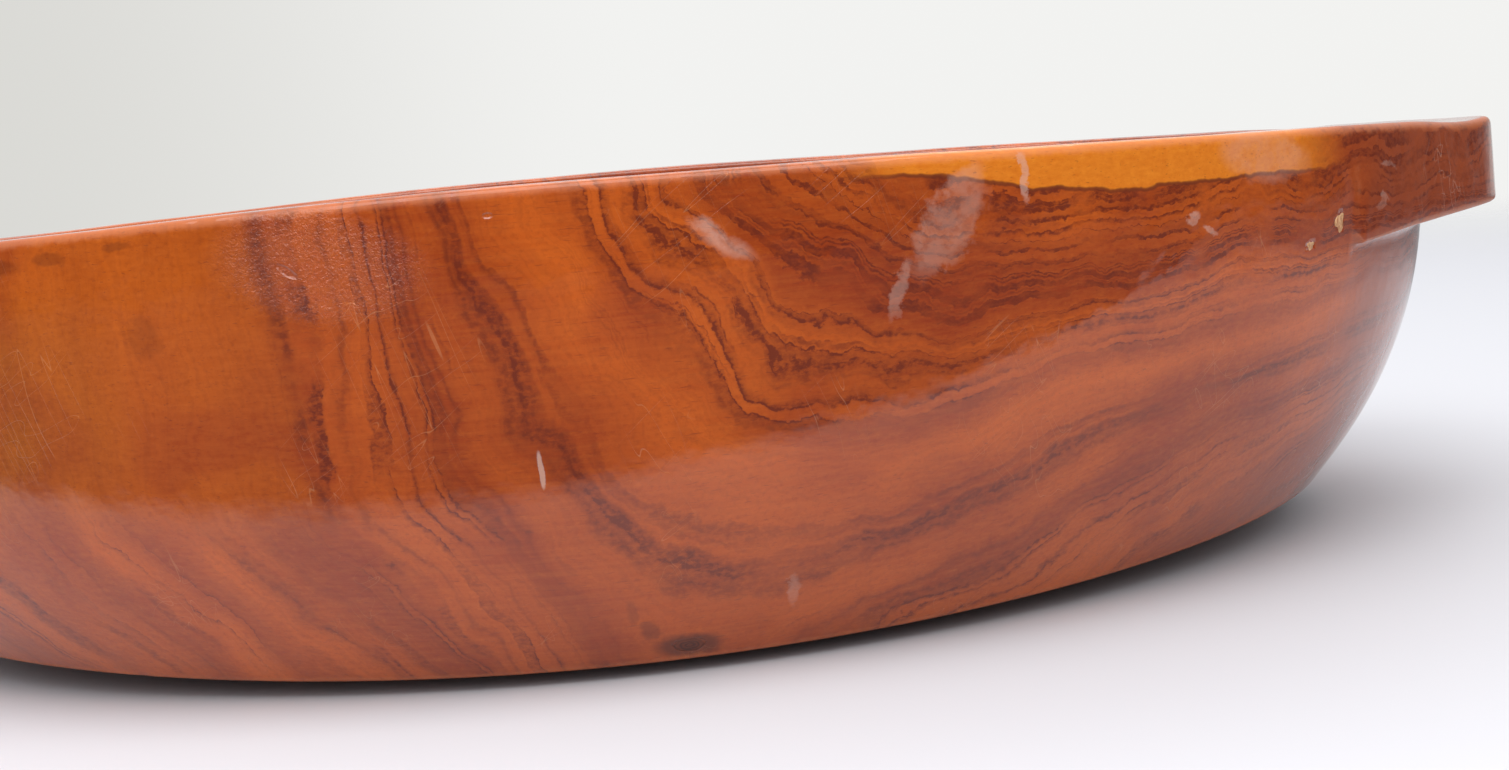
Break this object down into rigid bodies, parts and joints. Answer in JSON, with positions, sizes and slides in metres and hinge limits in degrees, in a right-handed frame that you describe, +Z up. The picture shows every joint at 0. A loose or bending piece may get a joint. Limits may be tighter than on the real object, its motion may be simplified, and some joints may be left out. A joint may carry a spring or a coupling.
{
  "type": "carved wooden bowl",
  "caption": "Long oval bowl carved from a single block of hardwood, with a flat ledge handle at each end and a flat base to rest on.",
  "frame": {"origin": "on the floor, under the middle of the bowl", "axes": "+X along the bowl from handle to handle, +Y across it, +Z up out of its mouth"},
  "size_m": [0.555, 0.33, 0.128],
  "materials": {
    "polished_wood": "streaked orange-brown hardwood under a glossy clear coat",
    "knot_wood": "dark tight branch knot under the same clear coat",
    "pale_fill": "pale wood filler, dull and slightly rough"
  },
  "bodies": {
    "root": {"bowl": "polished_wood", "base_edge_knot": "knot_wood", "crack_fill": "pale_fill"}
  },
  "joints": []
}
